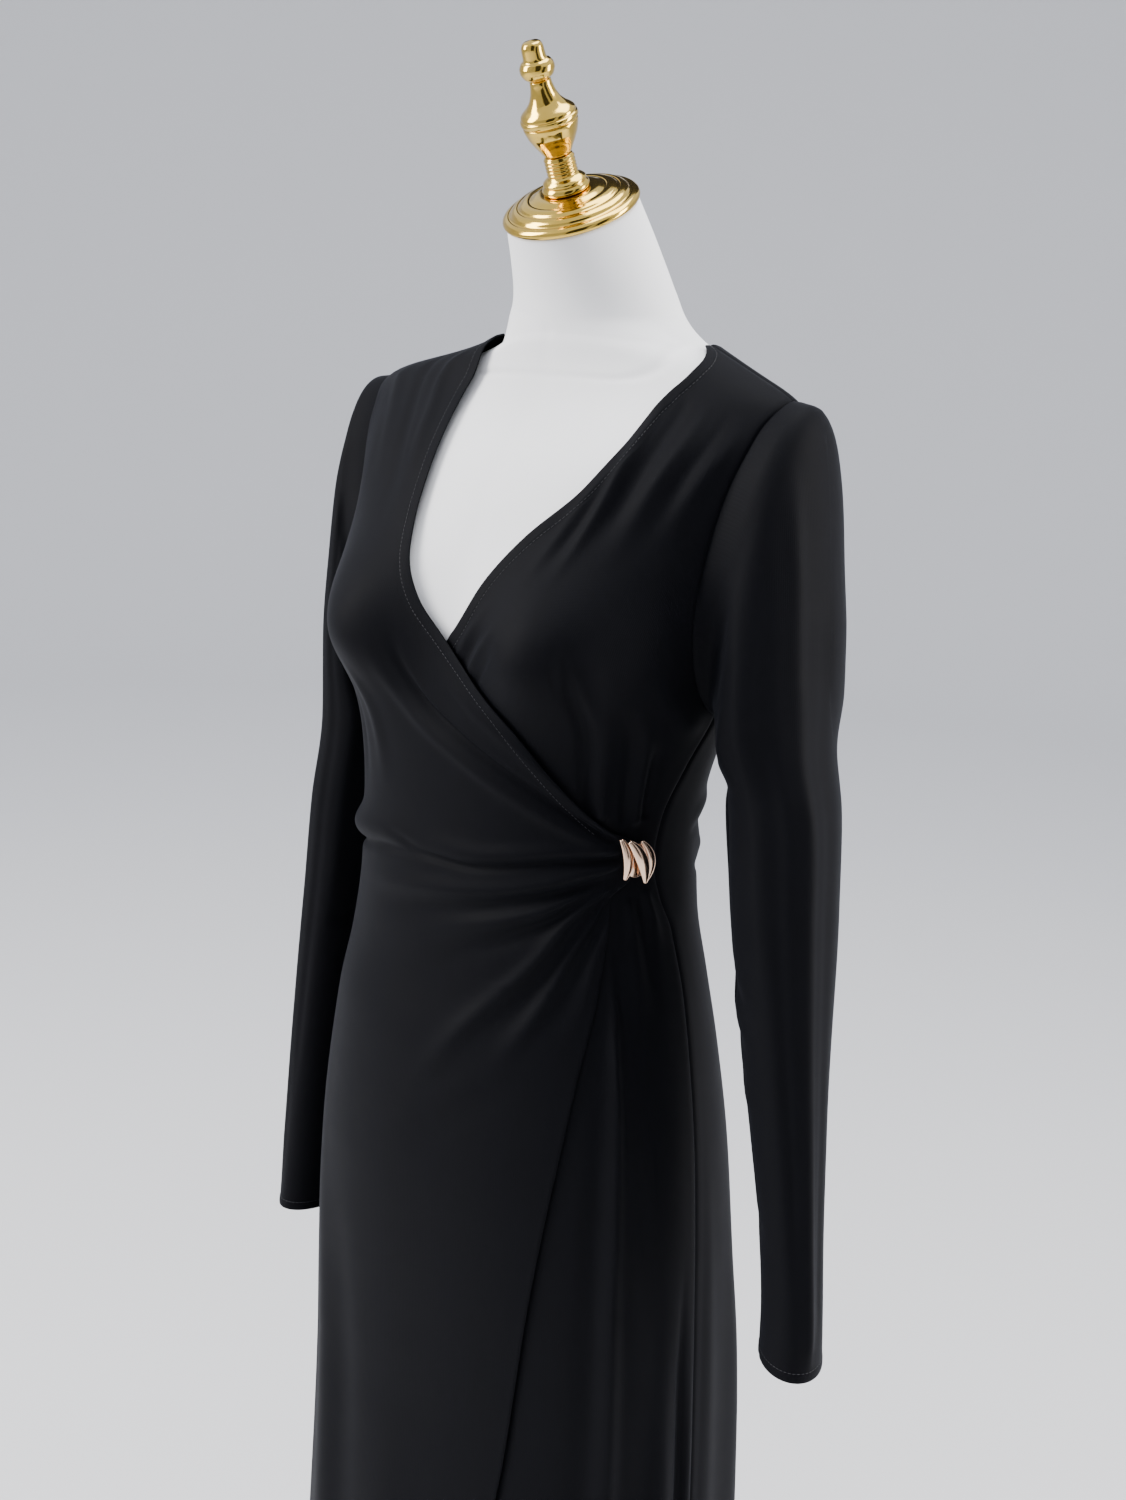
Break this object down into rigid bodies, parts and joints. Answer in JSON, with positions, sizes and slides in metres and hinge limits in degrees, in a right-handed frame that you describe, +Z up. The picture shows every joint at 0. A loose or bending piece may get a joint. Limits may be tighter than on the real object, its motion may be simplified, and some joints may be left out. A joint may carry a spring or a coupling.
{
  "type": "wrap dress on a dress form",
  "caption": "Long-sleeved V-neck wrap dress in black knit jersey, its front held at the waist by a small metal clasp, worn by a limbless dress form with a metal-capped neck on a pole stand.",
  "frame": {"origin": "centre of the stand's round base, on the floor", "axes": "+Z up; the front of the dress faces -Y; the wearer's left is +X"},
  "size_m": [0.5144, 0.339, 1.5703],
  "materials": {
    "jersey": "fine black knit jersey with a faint sheen",
    "form_cover": "close white stretch cloth over the form",
    "gold": "polished gold plate",
    "rose_gold": "polished rose-gold plate"
  },
  "bodies": {
    "root": {"dress_right_front": "jersey", "dress_left_front": "jersey", "dress_back": "jersey", "dress_left_sleeve": "jersey", "dress_right_sleeve": "jersey", "clasp_leaf_front": "rose_gold", "clasp_leaf_middle": "rose_gold", "clasp_leaf_rear": "rose_gold", "clasp_plate": "rose_gold", "form_torso": "form_cover", "neck_cap": "gold", "finial_collar": "gold", "finial_urn": "gold", "finial_tip": "gold", "stand_base": "gold", "stand_hub": "gold", "stand_pole": "gold", "stand_socket": "gold"}
  },
  "joints": []
}
